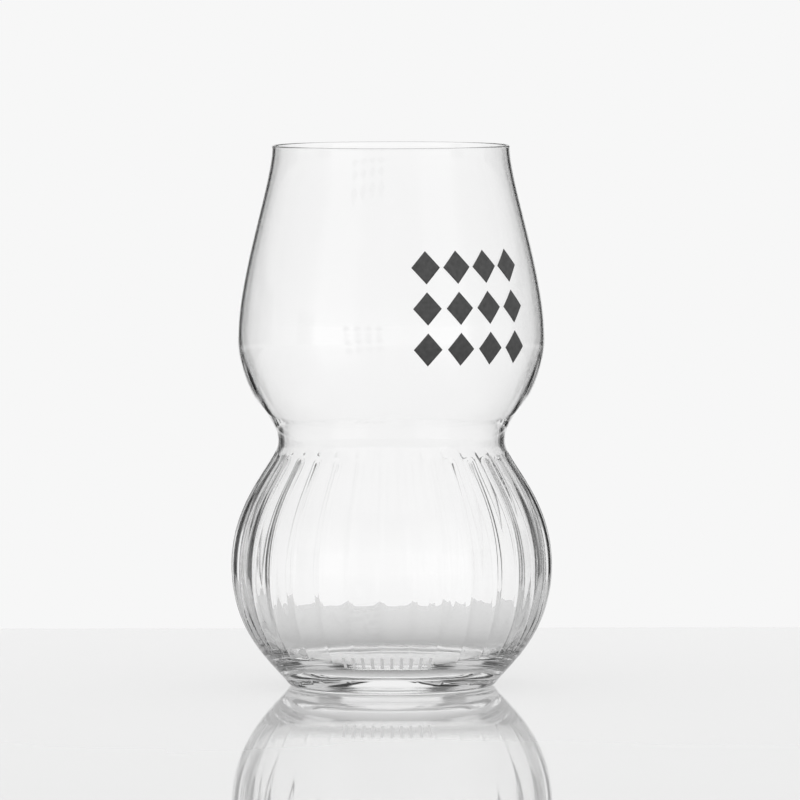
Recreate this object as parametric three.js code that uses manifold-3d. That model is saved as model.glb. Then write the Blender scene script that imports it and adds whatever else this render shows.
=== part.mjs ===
// Double-bulb beer glass: a plain bowl over a fluted bulb, with printed lozenges and capacity ticks.
// Millimetres, +Z up. The origin is the middle of the foot on the table, and the front is towards -Y.
import * as THREE from "three";
import { mergeVertices } from "three/addons/utils/BufferGeometryUtils.js";
import Module from "manifold-3d";

// Rings of the outside, from the rim down: radii, heights above the table, and leans in degrees from upright
const HEIGHT = 136;
const RIM_RADIUS = 29.9;
const BOWL_RADIUS = 38.6;
const BOWL_HEIGHT = 88.1;
const WAIST_RADIUS = 28.6;
const WAIST_HEIGHT = 61.5;
const SHOULDER_FLARE = 2.5;
const SHOULDER_RISE = 6.6;
const SHOULDER_LEAN = 42.4;
const BULB_RADIUS = 40.4;
const BULB_HEIGHT = 30.3;
const FOOT_RADIUS = 25.7;
const FOOT_LEAN = 37.2;

// How far each ring holds its direction along the wall, upwards and downwards
const RIM_REACH = 8.4;
const BOWL_REACH_UP = 15.4;
const BOWL_REACH_DOWN = 6.1;
const SHOULDER_REACH_UP = 7.3;
const SHOULDER_REACH_DOWN = 3;
const WAIST_REACH_UP = 1.75;
const WAIST_REACH_DOWN = 5.2;
const BULB_REACH_UP = 17.2;
const BULB_REACH_DOWN = 17.3;
const FOOT_REACH = 6.7;

// Thickness of the wall, measured level, and of the base
const RIM_WALL = 0.8;
const BOWL_WALL = 0.75;
const SHOULDER_WALL = 1.6;
const WAIST_WALL = 1.4;
const BULB_WALL = 2.2;
const FLOOR_THICKNESS = 5.5;
const FLOOR_RADIUS = 21;
const FLOOR_REACH = 8;
const INSIDE_BULB_REACH = 14.8;

// Rounded rim, and the foot: a flat ring round a shallow hollow
const RIM_ROUND_SHARE = 0.4;
const FOOT_ROUND = 0.8;
const FOOT_RING = 4.4;
const HOLLOW_DEPTH = 0.8;

// Flutes down the bulb: narrow grooves between ribs that lie on the outline, fading out at both ends
const FLUTES = 32;
const FLUTE_DEPTH = 0.4;
const FLUTE_TURN = 7.1;
const FLUTE_WIDTH = 0.55;
const FLUTE_SOFTNESS = 0.1;
const FLUTE_DROP = 2.2;
const FLUTE_TOP_FADE = 2;
const FLUTE_BOTTOM = 8;
const FLUTE_BOTTOM_FADE = 26;

// Printed lozenges on the bowl, in rows, on the right of the front
const PRINT_ROWS = 3;
const PRINT_COLUMNS = 4;
const PRINT_HEIGHT = 96.6;
const PRINT_TURN = 33.2;
const PRINT_PITCH = 8.6;
const PRINT_ROW_PITCH = 10.1;
const LOZENGE_WIDTH = 7.3;
const LOZENGE_HEIGHT = 8.2;

// Capacity ticks low on the front of the bulb
const TICKS = 10;
const TICK_HEIGHT = 8.4;
const TICK_TURN = -2.1;
const TICK_PITCH = 2.4;
const TICK_WIDTH = 0.8;
const TICK_LENGTH = 2.8;

// Ink lies just clear of the glass
const INK_THICKNESS = 0.1;
const INK_GAP = 0.05;

// Fineness of the solids
const SEGMENTS_PER_FLUTE = 3;
const OUTSIDE_SEGMENTS = FLUTES * SEGMENTS_PER_FLUTE;
const INSIDE_SEGMENTS = 48;
const CUT_CLEARANCE = 5;

const degrees = THREE.MathUtils.degToRad;
const wasm = await Module();
wasm.setup();

// A point moved along the wall's lean: a positive distance goes up and out
function along(radius, height, lean, distance) {
  const angle = degrees(lean);
  return [radius + distance * Math.sin(angle), height + distance * Math.cos(angle)];
}

// One smooth stretch of wall, from the path's end through two handles to a ring
function stretch(path, handleFrom, handleTo, ring) {
  path.bezierCurveTo(...handleFrom, ...handleTo, ...ring);
}

// The wall from the bulb's widest ring up to the rim's rounding, set in by a thickness at each ring
function climbToRim(path, inset, rimTop) {
  const bulb = BULB_RADIUS - inset.bulb;
  const waist = WAIST_RADIUS - inset.waist;
  const shoulder = WAIST_RADIUS + SHOULDER_FLARE - inset.shoulder;
  const shoulderHeight = WAIST_HEIGHT + SHOULDER_RISE;
  const bowl = BOWL_RADIUS - inset.bowl;
  const rim = RIM_RADIUS - inset.rim;
  stretch(
    path,
    [bulb, BULB_HEIGHT + BULB_REACH_UP],
    [waist, WAIST_HEIGHT - WAIST_REACH_DOWN],
    [waist, WAIST_HEIGHT],
  );
  stretch(
    path,
    [waist, WAIST_HEIGHT + WAIST_REACH_UP],
    along(shoulder, shoulderHeight, SHOULDER_LEAN, -SHOULDER_REACH_DOWN),
    [shoulder, shoulderHeight],
  );
  stretch(
    path,
    along(shoulder, shoulderHeight, SHOULDER_LEAN, SHOULDER_REACH_UP),
    [bowl, BOWL_HEIGHT - BOWL_REACH_DOWN],
    [bowl, BOWL_HEIGHT],
  );
  stretch(
    path,
    [bowl, BOWL_HEIGHT + BOWL_REACH_UP],
    [rim, rimTop - RIM_REACH],
    [rim, rimTop],
  );
}

// Outside profile, from the middle of the hollow under the foot up to the axis at the rim
function outsidePath() {
  const rimRound = RIM_WALL * RIM_ROUND_SHARE;
  const footSide = along(FOOT_RADIUS, 0, FOOT_LEAN, FOOT_ROUND);
  const ringOuter = FOOT_RADIUS - FOOT_ROUND;
  const ringInner = ringOuter - FOOT_RING;
  const path = new THREE.Path();
  path.moveTo(0, HOLLOW_DEPTH);
  path.quadraticCurveTo(ringInner / 2, HOLLOW_DEPTH, ringInner, 0);
  path.lineTo(ringOuter, 0);
  path.quadraticCurveTo(FOOT_RADIUS, 0, ...footSide);
  stretch(
    path,
    along(FOOT_RADIUS, 0, FOOT_LEAN, FOOT_REACH),
    [BULB_RADIUS, BULB_HEIGHT - BULB_REACH_DOWN],
    [BULB_RADIUS, BULB_HEIGHT],
  );
  const noInset = { bulb: 0, waist: 0, shoulder: 0, bowl: 0, rim: 0 };
  climbToRim(path, noInset, HEIGHT - rimRound);
  path.quadraticCurveTo(RIM_RADIUS, HEIGHT, RIM_RADIUS - rimRound, HEIGHT);
  path.lineTo(0, HEIGHT);
  return path;
}

// Inside profile, from the middle of the floor up past the rim
function insidePath() {
  const rimRound = RIM_WALL * RIM_ROUND_SHARE;
  const bulb = BULB_RADIUS - BULB_WALL;
  const rim = RIM_RADIUS - RIM_WALL;
  const path = new THREE.Path();
  path.moveTo(0, FLOOR_THICKNESS);
  path.lineTo(FLOOR_RADIUS, FLOOR_THICKNESS);
  stretch(
    path,
    [FLOOR_RADIUS + FLOOR_REACH, FLOOR_THICKNESS],
    [bulb, BULB_HEIGHT - INSIDE_BULB_REACH],
    [bulb, BULB_HEIGHT],
  );
  const walls = {
    bulb: BULB_WALL,
    waist: WAIST_WALL,
    shoulder: SHOULDER_WALL,
    bowl: BOWL_WALL,
    rim: RIM_WALL,
  };
  climbToRim(path, walls, HEIGHT - rimRound);
  path.quadraticCurveTo(rim, HEIGHT, rim + rimRound, HEIGHT);
  path.lineTo(rim + rimRound, HEIGHT + CUT_CLEARANCE);
  path.lineTo(0, HEIGHT + CUT_CLEARANCE);
  return path;
}

// Points of a path, with a chosen number of steps on each of its curves
function pointsOf(path, steps) {
  const points = [path.curves[0].getPoint(0)];
  path.curves.forEach((curve, i) => points.push(...curve.getPoints(steps[i]).slice(1)));
  return points;
}

// How deep the flutes are at a height, as a share of their full depth
function fluteShare(height) {
  const top = WAIST_HEIGHT - FLUTE_DROP;
  const fadeIn = THREE.MathUtils.smoothstep(height, FLUTE_BOTTOM, FLUTE_BOTTOM + FLUTE_BOTTOM_FADE);
  const fadeOut = 1 - THREE.MathUtils.smoothstep(height, top - FLUTE_TOP_FADE, top);
  return fadeIn * fadeOut;
}

// A turned solid standing on Z, its first segment line at an angle from the front
function turned(points, segments, turn) {
  const geometry = new THREE.LatheGeometry(points, segments, degrees(turn));
  return geometry.rotateX(Math.PI / 2);
}

// How deep a groove is at an angle from the front, as a share of its full depth
function grooveShare(angle) {
  const turns = (FLUTES * (angle - degrees(FLUTE_TURN))) / (2 * Math.PI);
  const offGroove = (2 * Math.abs(turns - Math.round(turns))) / FLUTE_WIDTH;
  return (1 - Math.min(Math.hypot(offGroove, FLUTE_SOFTNESS), 1)) ** 2;
}

// Presses the flutes into a turned solid's outer wall
function fluted(geometry) {
  const position = geometry.getAttribute("position");
  for (let i = 0; i < position.count; i += 1) {
    const x = position.getX(i);
    const y = position.getY(i);
    const radius = Math.hypot(x, y);
    if (radius > 0) {
      const share = grooveShare(Math.atan2(x, -y)) * fluteShare(position.getZ(i));
      const scale = 1 - (FLUTE_DEPTH * share) / radius;
      position.setXY(i, x * scale, y * scale);
    }
  }
  return geometry;
}

// A closed geometry as a solid for cutting
function toSolid(geometry) {
  geometry.deleteAttribute("normal");
  geometry.deleteAttribute("uv");
  const merged = mergeVertices(geometry);
  const corners = merged.index.array;
  const triangles = [];
  for (let i = 0; i < corners.length; i += 3) {
    const [a, b, c] = corners.slice(i, i + 3);
    if (a !== b && b !== c && c !== a) triangles.push(a, b, c);
  }
  const vertProperties = merged.getAttribute("position").array;
  const triVerts = new Uint32Array(triangles);
  return new wasm.Manifold(new wasm.Mesh({ numProp: 3, vertProperties, triVerts }));
}

// A solid as a geometry for the scene
function toGeometry(solid) {
  const mesh = solid.getMesh();
  const geometry = new THREE.BufferGeometry();
  geometry.setAttribute("position", new THREE.BufferAttribute(mesh.vertProperties, mesh.numProp));
  geometry.setIndex(new THREE.BufferAttribute(mesh.triVerts, 1));
  geometry.computeVertexNormals();
  return geometry;
}

// Profile rows of the outside, shared by the glass and by the ink that lies on it
const OUTSIDE_STEPS = [3, 1, 2, 6, 8, 3, 5, 7, 2, 1];
const INSIDE_STEPS = [1, 6, 6, 3, 4, 6, 2, 1, 1];
const outsidePoints = pointsOf(outsidePath(), OUTSIDE_STEPS);
const insidePoints = pointsOf(insidePath(), INSIDE_STEPS);
const firstWallPoint = outsidePoints.findIndex((point) => point.x >= FOOT_RADIUS);
const wallPoints = outsidePoints.slice(firstWallPoint, -2);

function glassBody() {
  const outside = fluted(turned(outsidePoints, OUTSIDE_SEGMENTS, FLUTE_TURN));
  const inside = turned(insidePoints, INSIDE_SEGMENTS, 0);
  return toGeometry(toSolid(outside).subtract(toSolid(inside)));
}

// A skin of ink all round the wall, following its facets
function inkSkin() {
  const near = wallPoints.map((point) => new THREE.Vector2(point.x + INK_GAP, point.y));
  const far = wallPoints.map((point) => new THREE.Vector2(point.x + INK_GAP + INK_THICKNESS, point.y));
  const closed = [...far, ...near.reverse(), far[0]];
  return toSolid(fluted(turned(closed, OUTSIDE_SEGMENTS, FLUTE_TURN)));
}

// Radius of the outside at a height
function wallRadius(height) {
  const above = wallPoints.findIndex((point) => point.y >= height);
  const low = wallPoints[above - 1];
  const high = wallPoints[above];
  return THREE.MathUtils.mapLinear(height, low.y, high.y, low.x, high.x);
}

// A patch of the skin, cut out by an outline that looks at the wall from an angle off the front
function inkPatch(skin, outline, turn, height) {
  const depth = BOWL_RADIUS + BULB_RADIUS;
  const cutter = new THREE.ExtrudeGeometry(outline, { depth, bevelEnabled: false });
  cutter.rotateX(Math.PI / 2);
  cutter.rotateZ(degrees(turn));
  cutter.translate(0, 0, height);
  return toGeometry(skin.intersect(toSolid(cutter)));
}

function lozenge(width, height) {
  const shape = new THREE.Shape();
  shape.moveTo(width / 2, 0);
  shape.lineTo(0, height / 2);
  shape.lineTo(-width / 2, 0);
  shape.lineTo(0, -height / 2);
  return shape;
}

function upright(width, height) {
  const shape = new THREE.Shape();
  shape.moveTo(width / 2, -height / 2);
  shape.lineTo(width / 2, height / 2);
  shape.lineTo(-width / 2, height / 2);
  shape.lineTo(-width / 2, -height / 2);
  return shape;
}

// Angle that takes up a length along the wall at a height
function turnOf(length, height) {
  return THREE.MathUtils.radToDeg(length / wallRadius(height));
}

const glass = new THREE.MeshStandardMaterial({ color: 0xf4f7f6, roughness: 0.04, metalness: 0 });
const ink = new THREE.MeshStandardMaterial({ color: 0x4c4c4c, roughness: 0.55, metalness: 0 });
const frost = new THREE.MeshStandardMaterial({ color: 0xc9cbca, roughness: 0.7, metalness: 0 });

const part = new THREE.Group();

function addPiece(name, geometry, material) {
  const mesh = new THREE.Mesh(geometry, material);
  mesh.name = name;
  part.add(mesh);
}

addPiece("glass_body", glassBody(), glass);

const skin = inkSkin();
for (let row = 0; row < PRINT_ROWS; row += 1) {
  const height = PRINT_HEIGHT + ((PRINT_ROWS - 1) / 2 - row) * PRINT_ROW_PITCH;
  for (let column = 0; column < PRINT_COLUMNS; column += 1) {
    const step = column - (PRINT_COLUMNS - 1) / 2;
    const turn = PRINT_TURN + step * turnOf(PRINT_PITCH, PRINT_HEIGHT);
    const outline = lozenge(LOZENGE_WIDTH, LOZENGE_HEIGHT);
    addPiece(`print_row${row + 1}_lozenge${column + 1}`, inkPatch(skin, outline, turn, height), ink);
  }
}

for (let tick = 0; tick < TICKS; tick += 1) {
  const step = tick - (TICKS - 1) / 2;
  const turn = TICK_TURN + step * turnOf(TICK_PITCH, TICK_HEIGHT);
  const outline = upright(TICK_WIDTH, TICK_LENGTH);
  addPiece(`capacity_tick_${tick + 1}`, inkPatch(skin, outline, turn, TICK_HEIGHT), frost);
}

export default part;
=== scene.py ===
# Double-bulb beer glass on a glossy white table, in bright-field studio light.
# Sizes are in millimetres and degrees; MM turns them into Blender's metres.
import math

import bpy
from mathutils import Euler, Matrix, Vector


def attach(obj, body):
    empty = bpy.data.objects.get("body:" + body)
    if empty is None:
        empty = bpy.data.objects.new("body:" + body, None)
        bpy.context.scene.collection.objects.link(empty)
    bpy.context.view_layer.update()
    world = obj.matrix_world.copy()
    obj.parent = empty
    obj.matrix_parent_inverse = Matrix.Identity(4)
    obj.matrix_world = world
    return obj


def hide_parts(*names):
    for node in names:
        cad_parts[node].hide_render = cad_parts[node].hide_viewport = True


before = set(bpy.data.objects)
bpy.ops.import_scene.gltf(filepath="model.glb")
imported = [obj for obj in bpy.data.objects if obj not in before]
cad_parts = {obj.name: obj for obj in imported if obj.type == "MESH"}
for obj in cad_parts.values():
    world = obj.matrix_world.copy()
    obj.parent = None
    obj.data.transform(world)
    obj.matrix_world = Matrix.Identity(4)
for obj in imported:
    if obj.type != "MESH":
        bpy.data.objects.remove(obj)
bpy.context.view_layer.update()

MM = 0.001

# Rings of the outside, from the rim down: radii, heights above the table, and leans from upright
HEIGHT = 136
RIM_RADIUS = 29.9
BOWL_RADIUS = 38.6
BOWL_HEIGHT = 88.1
WAIST_RADIUS = 28.6
WAIST_HEIGHT = 61.5
SHOULDER_FLARE = 2.5
SHOULDER_RISE = 6.6
SHOULDER_RADIUS = WAIST_RADIUS + SHOULDER_FLARE
SHOULDER_HEIGHT = WAIST_HEIGHT + SHOULDER_RISE
SHOULDER_LEAN = 42.4
BULB_RADIUS = 40.4
BULB_HEIGHT = 30.3
FOOT_RADIUS = 25.7
FOOT_LEAN = 37.2

# How far each ring holds its direction along the wall, upwards and downwards
RIM_REACH = 8.4
BOWL_REACH_UP = 15.4
BOWL_REACH_DOWN = 6.1
SHOULDER_REACH_UP = 7.3
SHOULDER_REACH_DOWN = 3
WAIST_REACH_UP = 1.75
WAIST_REACH_DOWN = 5.2
BULB_REACH_UP = 17.2
BULB_REACH_DOWN = 17.3
FOOT_REACH = 6.7

# Thickness of the wall, measured level, and of the base
RIM_WALL = 0.8
BOWL_WALL = 0.75
SHOULDER_WALL = 1.6
WAIST_WALL = 1.4
BULB_WALL = 2.2
FLOOR_THICKNESS = 5.5
FLOOR_RADIUS = 21
FLOOR_REACH = 8
INSIDE_BULB_REACH = 14.8

# Rounded rim, and the foot: a flat ring round a shallow hollow
RIM_ROUND = RIM_WALL / 2
FOOT_ROUND = 0.8
FOOT_RING = 4.4
HOLLOW_DEPTH = 0.8

# Ribs down the bulb, with grooves between them that fade out at both ends; widths are shares of a rib
FLUTES = 32
FLUTE_DEPTH = 0.4
FLUTE_TURN = 7.1
FLUTE_WIDTH = 0.55
FLUTE_SOFTNESS = 0.1
FLUTE_DROP = 2.2
FLUTE_TOP = WAIST_HEIGHT - FLUTE_DROP
FLUTE_TOP_FADE = 2
FLUTE_BOTTOM = 8
FLUTE_BOTTOM_FADE = 26

# A fine crease that takes over from each groove as it fades out towards the base
CREASE_DEPTH = 0.05
CREASE_WIDTH = 0.12
CREASE_BOTTOM = 5
CREASE_BOTTOM_FADE = 5

# Printed lozenges on the bowl, in rows, on the right of the front
PRINT_ROWS = 3
PRINT_COLUMNS = 4
PRINT_HEIGHT = 96.6
PRINT_TURN = 33.2
PRINT_PITCH = 8.6
PRINT_ROW_PITCH = 10.1
LOZENGE_WIDTH = 7.3
LOZENGE_HEIGHT = 8.2

# Capacity ticks low on the front of the bulb
TICKS = 10
TICK_HEIGHT = 8.4
TICK_TURN = -2.1
TICK_PITCH = 2.4
TICK_WIDTH = 0.8
TICK_LENGTH = 2.8

# Ink: how far its inner and outer faces stand off the glass
INK_INNER = 0.02
INK_OUTER = 0.07

# Fineness of the meshes
SEGMENTS_PER_FLUTE = 12
SEGMENTS = FLUTES * SEGMENTS_PER_FLUTE
ROW_STEP = 0.7
CURVE_STEPS_MIN = 4
RIM_STEPS = 12
INK_STEPS = 12

# Looks: pairs are the ends of a fine unevenness over the surface
GLASS_TINT = (0.985, 1)
GLASS_IOR = 1.5
INK_GREY = (0.055, 0.085)
INK_ROUGHNESS = (0.5, 0.65)
FROST_GREY = (0.75, 0.9)
FROST_ROUGHNESS = 0.7
# Painted light: the frosted marks glow a little, for the light from behind that they scatter
FROST_PAINTED_GLOW = 0.1
TABLE_GREY = (0.42, 0.44)
TABLE_ROUGHNESS = 0.03

# Unevenness: its scale on each look, its detail, and the span of the noise that is spread out
GLASS_NOISE = 25
INK_NOISE = 900
INK_ROUGHNESS_NOISE = 400
FROST_NOISE = 2000
TABLE_NOISE = 6
NOISE_DETAIL = 4
NOISE_SPAN = (0.3, 0.7)

# Table, its painted shade in reflections and through glass, and its painted glow around the foot with a
# painted pool of light under it
TABLE_BACK = 160
TABLE_FRONT = 1000
TABLE_SIDE = 800
TABLE_THICKNESS = 20
TABLE_GAP = 0.15
TABLE_BEVEL = 1
TABLE_BEVEL_STEPS = 3
TABLE_PAINTED_SHADE = 0.3
TABLE_PAINTED_GLOW = 0.17
TABLE_PAINTED_POOL = 0.43

# Camera
CAMERA_DISTANCE = 1995
CAMERA_HEIGHT = 195.6
CAMERA_LENS = 357.5
CAMERA_SENSOR = 36
CAMERA_PITCH = 3.55
CAMERA_YAW = -0.069
CAMERA_ROLL = 0.106

# Light behind the glass, and on what isn't glass
BACK_LIGHT = 0.93
SOFT_LIGHT = 0.85
LIGHT_BOUNCES = 32

# Light straight through the glass: panels all round, as (degrees off a panel's middle, strength)
PANEL_STEP = 45
PANEL_LIGHT = [(0, 0.97), (16, 0.97), (18, 0.03), (22.5, 0.03)]

# Reflected light by degrees round from behind: off the room, once through the wall, caught in the base
ROOM_LIGHT = [
    (0, 0.93), (13, 0.93), (15, 0.03), (26, 0.03), (34, 0.4), (65, 0.6), (95, 0.75),
    (112, 0.85), (118, 1.2), (150, 1.2), (156, 0.88), (180, 0.88),
]
WALL_LIGHT = [
    (0, 0.93), (13, 0.93), (15, 0.01), (38, 0.01), (42, 0.2), (52, 0.2), (56, 0.01), (75, 0.01),
    (77, 0.5), (103, 0.55), (105, 0.02), (118, 0.02), (120, 0.9), (180, 0.9),
]
BASE_LIGHT = [
    (0, 0.92), (15, 0.92), (17, 0), (25, 0), (27, 0.6), (45, 0.6), (48, 0), (95, 0), (110, 0.2), (180, 0.4),
]

# Least reflected light from a little below and above eye level, as (degrees of elevation, share)
SLOPE_LIGHT = 0.6
SLOPE_SHARE = [(-11, 0), (-10, 1), (-8, 1), (-7, 0), (8, 0), (10, 1)]

# Ceiling, as (degrees of elevation, share), and its strip in the base, as (sideways part, strength)
CEILING_LIGHT = 0.9
CEILING_SHARE = [(30, 0), (45, 1)]
STRIP_LIGHT = [(0, 0.9), (0.3, 0.9), (0.37, 0), (0.55, 0), (0.62, 0.9), (1, 0.9)]


# Curves of the profile

def along(radius, height, lean, distance):
    """The point at a distance from another, in a direction that leans outwards from upright."""
    angle = math.radians(lean)
    return (radius + distance * math.sin(angle), height + distance * math.cos(angle))


def curve(points, handles, end):
    """Adds points of a Bezier curve from the list's last point, about ROW_STEP apart."""
    controls = [points[-1], *handles, end]
    length = sum(math.dist(a, b) for a, b in zip(controls, controls[1:]))
    steps = max(CURVE_STEPS_MIN, round(length / ROW_STEP))
    for i in range(1, steps + 1):
        layer = controls
        share = i / steps
        while len(layer) > 1:
            layer = [
                tuple(p + (q - p) * share for p, q in zip(a, b))
                for a, b in zip(layer, layer[1:])
            ]
        points.append(layer[0])


def climb_to_rim(points, bulb, waist, shoulder, bowl, rim):
    """Follows the wall from the bulb's widest ring to the rim, set in by a thickness at each ring."""
    bulb = BULB_RADIUS - bulb
    waist = WAIST_RADIUS - waist
    shoulder = SHOULDER_RADIUS - shoulder
    bowl = BOWL_RADIUS - bowl
    rim = RIM_RADIUS - rim
    rim_top = HEIGHT - RIM_ROUND
    curve(
        points,
        [(bulb, BULB_HEIGHT + BULB_REACH_UP), (waist, WAIST_HEIGHT - WAIST_REACH_DOWN)],
        (waist, WAIST_HEIGHT),
    )
    curve(
        points,
        [
            (waist, WAIST_HEIGHT + WAIST_REACH_UP),
            along(shoulder, SHOULDER_HEIGHT, SHOULDER_LEAN, -SHOULDER_REACH_DOWN),
        ],
        (shoulder, SHOULDER_HEIGHT),
    )
    curve(
        points,
        [
            along(shoulder, SHOULDER_HEIGHT, SHOULDER_LEAN, SHOULDER_REACH_UP),
            (bowl, BOWL_HEIGHT - BOWL_REACH_DOWN),
        ],
        (bowl, BOWL_HEIGHT),
    )
    curve(
        points,
        [(bowl, BOWL_HEIGHT + BOWL_REACH_UP), (rim, rim_top - RIM_REACH)],
        (rim, rim_top),
    )


def outside_profile():
    """From the middle of the hollow under the foot, up the outside to the rim's rounding."""
    ring_outer = FOOT_RADIUS - FOOT_ROUND
    ring_inner = ring_outer - FOOT_RING
    points = [(0, HOLLOW_DEPTH)]
    curve(points, [(ring_inner / 2, HOLLOW_DEPTH)], (ring_inner, 0))
    curve(points, [], (ring_outer, 0))
    curve(points, [(FOOT_RADIUS, 0)], along(FOOT_RADIUS, 0, FOOT_LEAN, FOOT_ROUND))
    curve(
        points,
        [along(FOOT_RADIUS, 0, FOOT_LEAN, FOOT_REACH), (BULB_RADIUS, BULB_HEIGHT - BULB_REACH_DOWN)],
        (BULB_RADIUS, BULB_HEIGHT),
    )
    climb_to_rim(points, 0, 0, 0, 0, 0)
    return points


def inside_profile():
    """From the middle of the floor, up the inside to the rim's rounding."""
    bulb = BULB_RADIUS - BULB_WALL
    points = [(0, FLOOR_THICKNESS)]
    curve(points, [], (FLOOR_RADIUS, FLOOR_THICKNESS))
    curve(
        points,
        [(FLOOR_RADIUS + FLOOR_REACH, FLOOR_THICKNESS), (bulb, BULB_HEIGHT - INSIDE_BULB_REACH)],
        (bulb, BULB_HEIGHT),
    )
    climb_to_rim(points, BULB_WALL, WAIST_WALL, SHOULDER_WALL, BOWL_WALL, RIM_WALL)
    return points


def rim_rounding():
    """The points of the half round between the outside and the inside of the rim, ends left out."""
    middle = RIM_RADIUS - RIM_ROUND
    base = HEIGHT - RIM_ROUND
    angles = [math.pi * i / RIM_STEPS for i in range(1, RIM_STEPS)]
    return [(middle + RIM_ROUND * math.cos(a), base + RIM_ROUND * math.sin(a)) for a in angles]


# The outside wall with its flutes

outside = outside_profile()
inside = inside_profile()
wall = [(radius, height) for radius, height in outside if radius > FOOT_RADIUS]


def smoothstep(value, low, high):
    """Eases from 0 at one value to 1 at another."""
    share = min(max((value - low) / (high - low), 0), 1)
    return share * share * (3 - 2 * share)


def groove_share(off_groove, width):
    """1 at the middle of a groove, 0 from its edge on; the place and the width are shares of half a rib."""
    up_side = min(math.hypot(off_groove / width, FLUTE_SOFTNESS), 1)
    return (1 - up_side)**2


def flute_cut(angle, height):
    """How far the wall lies inside its crests at an angle from the front, in radians."""
    turns = FLUTES * (angle - math.radians(FLUTE_TURN)) / math.tau
    off_groove = 2 * abs(turns - round(turns))
    rise = smoothstep(height, FLUTE_BOTTOM, FLUTE_BOTTOM + FLUTE_BOTTOM_FADE)
    crease_rise = smoothstep(height, CREASE_BOTTOM, CREASE_BOTTOM + CREASE_BOTTOM_FADE)
    fall = 1 - smoothstep(height, FLUTE_TOP - FLUTE_TOP_FADE, FLUTE_TOP)
    groove = FLUTE_DEPTH * groove_share(off_groove, FLUTE_WIDTH) * rise
    crease = CREASE_DEPTH * groove_share(off_groove, CREASE_WIDTH) * crease_rise * (1 - rise)
    return (groove + crease) * fall


def ring_angles():
    """Angles of the points round a ring, from the front, crowded towards the grooves."""
    half_rib = math.pi / FLUTES
    angles = []
    for rib in range(FLUTES):
        crest = math.radians(FLUTE_TURN) + (2 * rib + 1) * half_rib
        for step in range(SEGMENTS_PER_FLUTE):
            share = 2 * step / SEGMENTS_PER_FLUTE - 1
            angles.append(crest + half_rib * math.sin(share * math.pi / 2))
    return angles


def wall_at(height):
    """Radius of the crests at a height, and the (level, upright) parts of the wall's normal there."""
    above = next(i for i, point in enumerate(wall) if point[1] >= height)
    low = wall[above - 1]
    high = wall[above]
    share = (height - low[1]) / (high[1] - low[1])
    span = math.dist(low, high)
    normal = ((high[1] - low[1]) / span, (low[0] - high[0]) / span)
    return low[0] + share * (high[0] - low[0]), normal


def place(angle, radius, height):
    """A point in metres, its angle measured from the front towards +X."""
    return Vector((radius * math.sin(angle), -radius * math.cos(angle), height)) * MM


def on_wall(angle, height, lift):
    """A point lifted off the outside of the glass."""
    radius, normal = wall_at(height)
    radius += lift * normal[0] - flute_cut(angle, height)
    return place(angle, radius, height + lift * normal[1])


# Meshes

def make_object(name, points, faces):
    mesh = bpy.data.meshes.new(name)
    mesh.from_pydata(points, [], faces)
    mesh.validate()
    mesh.shade_smooth()
    made = bpy.data.objects.new(name, mesh)
    bpy.context.scene.collection.objects.link(made)
    return made


def glass_mesh(name):
    """The whole glass as one closed turned skin, from under the foot to the floor inside."""
    profile = [*outside, *rim_rounding(), *reversed(inside)]
    outside_rows = len(outside)
    angles = ring_angles()
    points = []
    rings = []
    for row, (radius, height) in enumerate(profile):
        first = len(points)
        if radius == 0:
            points.append(place(0, 0, height))
            rings.append([first] * SEGMENTS)
            continue
        for angle in angles:
            cut = flute_cut(angle, height) if row < outside_rows else 0
            points.append(place(angle, radius - cut, height))
        rings.append([first + i for i in range(SEGMENTS)])
    faces = []
    for low, high in zip(rings, rings[1:]):
        for i in range(SEGMENTS):
            j = (i + 1) % SEGMENTS
            corners = [low[i], low[j], high[j], high[i]]
            faces.append(list(dict.fromkeys(corners)))
    return make_object(name, points, faces)


def ink_mesh(name, turn, height, outline):
    """A thin closed patch on the wall. outline(a, b) maps the square from -1 to 1 to (across, up)."""
    sides = INK_STEPS + 1
    points = []
    for lift in (INK_INNER, INK_OUTER):
        for row in range(sides):
            for column in range(sides):
                across, up = outline(2 * column / INK_STEPS - 1, 2 * row / INK_STEPS - 1)
                radius = wall_at(height + up)[0]
                angle = math.radians(turn) + math.asin(across / radius)
                points.append(on_wall(angle, height + up, lift))
    layer = sides * sides
    faces = []
    for row in range(INK_STEPS):
        for column in range(INK_STEPS):
            a = row * sides + column
            quad = [a, a + 1, a + sides + 1, a + sides]
            faces.append(quad[::-1])
            faces.append([layer + i for i in quad])
    last = INK_STEPS * sides
    edge = list(range(sides))
    edge += [i * sides + INK_STEPS for i in range(1, sides)]
    edge += [last + i for i in range(INK_STEPS - 1, -1, -1)]
    edge += [i * sides for i in range(INK_STEPS - 1, 0, -1)]
    for a, b in zip(edge, edge[1:] + edge[:1]):
        faces.append([a, b, layer + b, layer + a])
    return make_object(name, points, faces)


def lozenge(a, b):
    return ((a - b) * LOZENGE_WIDTH / 4, (a + b) * LOZENGE_HEIGHT / 4)


def upright(a, b):
    return (a * TICK_WIDTH / 2, b * TICK_LENGTH / 2)


def turn_of(length, height):
    """Angle in degrees that takes up a length along the wall."""
    return math.degrees(length / wall_at(height)[0])


# Nodes of materials and of the world

def connect(tree, value, socket):
    """Feeds a socket from another node, or sets it to a number."""
    if isinstance(value, bpy.types.NodeSocket):
        tree.links.new(value, socket)
    else:
        socket.default_value = value


def result_of(tree, operation, *values):
    node = tree.nodes.new("ShaderNodeMath")
    node.operation = operation
    for socket, value in zip(node.inputs, values):
        connect(tree, value, socket)
    return node.outputs[0]


def mix_of(tree, share, a, b):
    """a where the share is 0, b where it is 1."""
    node = tree.nodes.new("ShaderNodeMix")
    for name, value in (("Factor", share), ("A", a), ("B", b)):
        connect(tree, value, node.inputs[name])
    return node.outputs["Result"]


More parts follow.
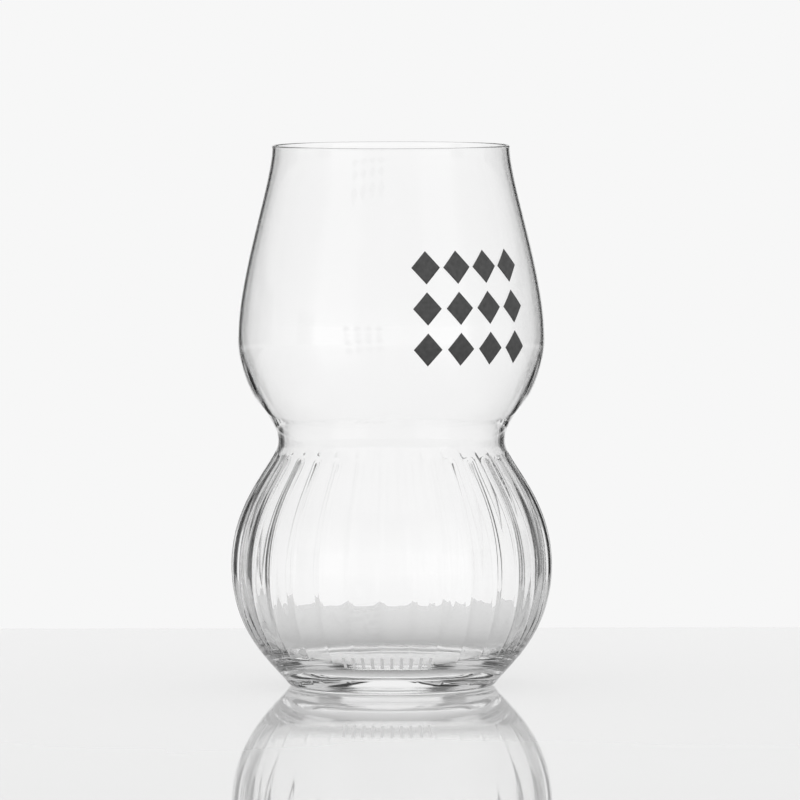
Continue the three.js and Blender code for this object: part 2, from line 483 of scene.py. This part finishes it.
def spread_of(tree, value, span, ends):
    """Spreads a span of a value evenly between two ends, and holds the ends beyond it."""
    node = tree.nodes.new("ShaderNodeMapRange")
    names = ("From Min", "From Max", "To Min", "To Max")
    for name, limit in zip(names, (*span, *ends)):
        node.inputs[name].default_value = limit
    tree.links.new(value, node.inputs["Value"])
    return node.outputs["Result"]


def ramp_of(tree, value, low, high, stops):
    """Strengths at stops, (value, strength), between two limits of a value."""
    ramp = tree.nodes.new("ShaderNodeValToRGB")
    share = result_of(tree, "DIVIDE", result_of(tree, "SUBTRACT", value, low), high - low)
    tree.links.new(share, ramp.inputs["Fac"])
    elements = ramp.color_ramp.elements
    while len(elements) < len(stops):
        elements.new(0.5)
    for element, (stop, strength) in zip(elements, stops):
        element.position = (stop - low) / (high - low)
        element.color = (strength, strength, strength, 1)
    return ramp.outputs["Color"]


def noise_between(tree, scale, ends):
    """A noise over the object's own space, spread between two ends."""
    spot = tree.nodes.new("ShaderNodeTexCoord")
    noise = tree.nodes.new("ShaderNodeTexNoise")
    noise.inputs["Scale"].default_value = scale
    noise.inputs["Detail"].default_value = NOISE_DETAIL
    tree.links.new(spot.outputs["Object"], noise.inputs["Vector"])
    return spread_of(tree, noise.outputs["Fac"], NOISE_SPAN, ends)


# Materials

def new_material(name):
    material = bpy.data.materials.new(name)
    material.use_nodes = True
    return material, material.node_tree, material.node_tree.nodes["Principled BSDF"]


def glass_material():
    material, tree, shader = new_material("clear_glass")
    connect(tree, noise_between(tree, GLASS_NOISE, GLASS_TINT), shader.inputs["Base Color"])
    shader.inputs["Transmission Weight"].default_value = 1
    shader.inputs["IOR"].default_value = GLASS_IOR
    shader.inputs["Roughness"].default_value = 0
    return material


def ink_material():
    material, tree, shader = new_material("printed_ink")
    connect(tree, noise_between(tree, INK_NOISE, INK_GREY), shader.inputs["Base Color"])
    connect(tree, noise_between(tree, INK_ROUGHNESS_NOISE, INK_ROUGHNESS), shader.inputs["Roughness"])
    return material


def frost_material():
    """Pale marks, with a painted glow that stands in for the light from behind that they scatter."""
    material, tree, shader = new_material("frosted_mark")
    connect(tree, noise_between(tree, FROST_NOISE, FROST_GREY), shader.inputs["Base Color"])
    shader.inputs["Roughness"].default_value = FROST_ROUGHNESS
    shader.inputs["Emission Color"].default_value = (1, 1, 1, 1)
    shader.inputs["Emission Strength"].default_value = FROST_PAINTED_GLOW
    return material


def painted_table_glow(tree):
    """The table's painted glow, stronger under the foot as a painted pool of light, where light comes down
    through the glass.
    """
    spot = tree.nodes.new("ShaderNodeTexCoord")
    distance = tree.nodes.new("ShaderNodeVectorMath")
    distance.operation = "LENGTH"
    tree.links.new(spot.outputs["Object"], distance.inputs[0])
    span = ((FOOT_RADIUS - FOOT_RING) * MM, FOOT_RADIUS * MM)
    return spread_of(tree, distance.outputs["Value"], span, (TABLE_PAINTED_POOL, TABLE_PAINTED_GLOW))


def table_material():
    material, tree, shader = new_material("white_acrylic")
    path = tree.nodes.new("ShaderNodeLightPath")
    grey = noise_between(tree, TABLE_NOISE, TABLE_GREY)
    # Painted shade: the table's colour is darker where it is seen in reflections and through glass
    shade = mix_of(tree, path.outputs["Is Glossy Ray"], grey, TABLE_PAINTED_SHADE)
    connect(tree, shade, shader.inputs["Base Color"])
    shader.inputs["Roughness"].default_value = TABLE_ROUGHNESS
    # Painted light: the table glows all over, and a brighter painted pool lies under the foot
    shader.inputs["Emission Color"].default_value = (1, 1, 1, 1)
    connect(tree, painted_table_glow(tree), shader.inputs["Emission Strength"])
    return material


# Pieces of the part

glass_look = glass_material()
ink_look = ink_material()
frost_look = frost_material()


def dress(piece, look, node):
    piece.data.materials.append(look)
    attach(piece, "root")
    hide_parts(node)


dress(glass_mesh("glass_skin"), glass_look, "glass_body")

for row in range(PRINT_ROWS):
    height = PRINT_HEIGHT + ((PRINT_ROWS - 1) / 2 - row) * PRINT_ROW_PITCH
    for column in range(PRINT_COLUMNS):
        step = column - (PRINT_COLUMNS - 1) / 2
        turn = PRINT_TURN + step * turn_of(PRINT_PITCH, PRINT_HEIGHT)
        place_name = f"row{row + 1}_lozenge{column + 1}"
        patch = ink_mesh(f"ink_{place_name}", turn, height, lozenge)
        dress(patch, ink_look, f"print_{place_name}")

for tick in range(TICKS):
    step = tick - (TICKS - 1) / 2
    turn = TICK_TURN + step * turn_of(TICK_PITCH, TICK_HEIGHT)
    mark = ink_mesh(f"tick_{tick + 1}", turn, TICK_HEIGHT, upright)
    dress(mark, frost_look, f"capacity_tick_{tick + 1}")


# Table

def make_table():
    left, right = -TABLE_SIDE * MM, TABLE_SIDE * MM
    front, back = -TABLE_FRONT * MM, TABLE_BACK * MM
    top = -TABLE_GAP * MM
    bottom = top - TABLE_THICKNESS * MM
    points = [(x, y, z) for z in (bottom, top) for y in (front, back) for x in (left, right)]
    faces = [(0, 2, 3, 1), (4, 5, 7, 6), (0, 1, 5, 4), (1, 3, 7, 5), (3, 2, 6, 7), (2, 0, 4, 6)]
    table = make_object("table", points, faces)
    table.data.shade_flat()
    bevel = table.modifiers.new("edge", "BEVEL")
    bevel.width = TABLE_BEVEL * MM
    bevel.segments = TABLE_BEVEL_STEPS
    table.data.materials.append(table_material())


make_table()


# Light

def reflected_light(tree, direction, azimuth, crossings, thrice):
    """Light that has been reflected in the glass: the room, the ceiling, or what the wall and base catch."""
    round_from_back = result_of(tree, "ABSOLUTE", azimuth)
    room, once, often = (
        ramp_of(tree, round_from_back, 0, 180, stops) for stops in (ROOM_LIGHT, WALL_LIGHT, BASE_LIGHT)
    )
    in_wall = result_of(tree, "COMPARE", crossings, 2, 0.5)
    level = mix_of(tree, in_wall, room, once)

    elevation = result_of(tree, "DEGREES", result_of(tree, "ARCSINE", direction.outputs["Z"]))
    off_level = ramp_of(tree, elevation, -90, 90, SLOPE_SHARE)
    sloped = mix_of(tree, off_level, level, result_of(tree, "MAXIMUM", level, SLOPE_LIGHT))

    sideways = result_of(tree, "ABSOLUTE", direction.outputs["X"])
    ceiling = mix_of(tree, thrice, CEILING_LIGHT, ramp_of(tree, sideways, 0, 1, STRIP_LIGHT))
    overhead = ramp_of(tree, elevation, -90, 90, CEILING_SHARE)
    above = mix_of(tree, overhead, sloped, ceiling)

    caught = result_of(tree, "MULTIPLY", in_wall, thrice)
    return mix_of(tree, caught, above, often)


def make_world():
    """White behind the glass for the eye, and plain light for what isn't glass. Light straight through the
    glass sees white panels with dark gaps between, and light reflected in it sees a room."""
    world = bpy.data.worlds.new("studio")
    bpy.context.scene.world = world
    world.use_nodes = True
    tree = world.node_tree
    background = tree.nodes["Background"]
    background.inputs["Color"].default_value = (1, 1, 1, 1)

    coordinates = tree.nodes.new("ShaderNodeTexCoord")
    direction = tree.nodes.new("ShaderNodeSeparateXYZ")
    tree.links.new(coordinates.outputs["Generated"], direction.inputs[0])
    turn = result_of(tree, "ARCTAN2", direction.outputs["X"], direction.outputs["Y"])
    azimuth = result_of(tree, "DEGREES", turn)

    # The world counts as one step of the path. Tests of whole counts fall halfway between them.
    path = tree.nodes.new("ShaderNodeLightPath")
    crossings = path.outputs["Transmission Depth"]
    surfaces = result_of(tree, "SUBTRACT", path.outputs["Ray Depth"], 1)
    reflections = result_of(tree, "SUBTRACT", surfaces, crossings)
    reflected = result_of(tree, "GREATER_THAN", reflections, 0.5)
    thrice = result_of(tree, "GREATER_THAN", reflections, 2.5)
    scattered = result_of(tree, "GREATER_THAN", path.outputs["Diffuse Depth"], 0.5)

    off_panel = result_of(tree, "PINGPONG", azimuth, PANEL_STEP / 2)
    panels = ramp_of(tree, off_panel, 0, PANEL_STEP / 2, PANEL_LIGHT)
    room = reflected_light(tree, direction, azimuth, crossings, thrice)
    in_glass = mix_of(tree, reflected, panels, room)
    shown = mix_of(tree, scattered, in_glass, SOFT_LIGHT)
    total = mix_of(tree, path.outputs["Is Camera Ray"], shown, BACK_LIGHT)
    connect(tree, total, background.inputs["Strength"])


make_world()

# Enough bounces for light caught inside the thick base
cycles = bpy.context.scene.cycles
cycles.max_bounces = LIGHT_BOUNCES
cycles.glossy_bounces = LIGHT_BOUNCES
cycles.transmission_bounces = LIGHT_BOUNCES

# Camera at the photograph's viewing angle
camera = bpy.data.objects.new("camera", bpy.data.cameras.new("camera"))
bpy.context.scene.collection.objects.link(camera)
camera.location = Vector((0, -CAMERA_DISTANCE, CAMERA_HEIGHT)) * MM
tilt = math.radians(90 - CAMERA_PITCH)
camera.rotation_euler = Euler((tilt, math.radians(CAMERA_ROLL), math.radians(CAMERA_YAW)))
camera.data.lens = CAMERA_LENS
camera.data.sensor_width = CAMERA_SENSOR
bpy.context.scene.camera = camera

bpy.context.scene.view_settings.view_transform = "Standard"
